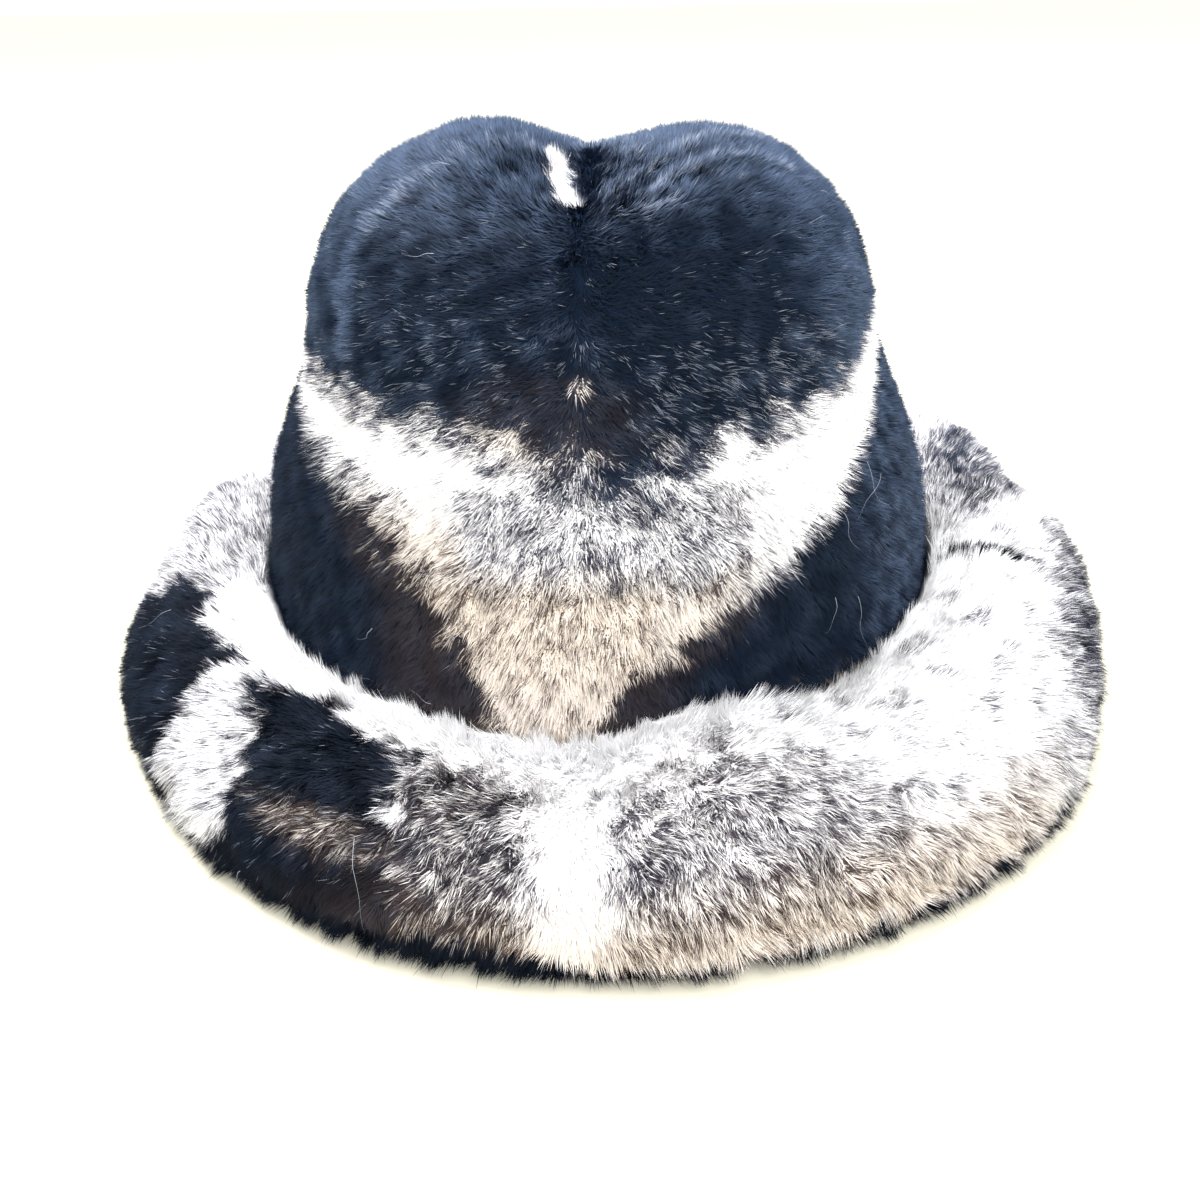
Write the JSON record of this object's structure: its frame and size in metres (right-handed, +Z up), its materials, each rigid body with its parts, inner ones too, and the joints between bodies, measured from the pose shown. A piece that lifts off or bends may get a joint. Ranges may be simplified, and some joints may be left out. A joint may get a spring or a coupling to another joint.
{
  "type": "fur fedora hat",
  "caption": "Soft fur hat with a hollow creased crown and a wide padded brim all round, open underneath for the head; it lies on its brim.",
  "frame": {"origin": "on the surface that the hat lies on, under the middle of its bounding box", "axes": "+Z up through the crown, -Y to the front of the hat where the crease is pinched, +X to the right in the picture"},
  "size_m": [0.2962, 0.337, 0.1576],
  "materials": {
    "crown_fur": "short dense fur, dark and white",
    "brim_fur": "tufted fur, white, grey and dark patches"
  },
  "bodies": {
    "root": {"crown": "crown_fur", "brim": "brim_fur"}
  },
  "joints": []
}
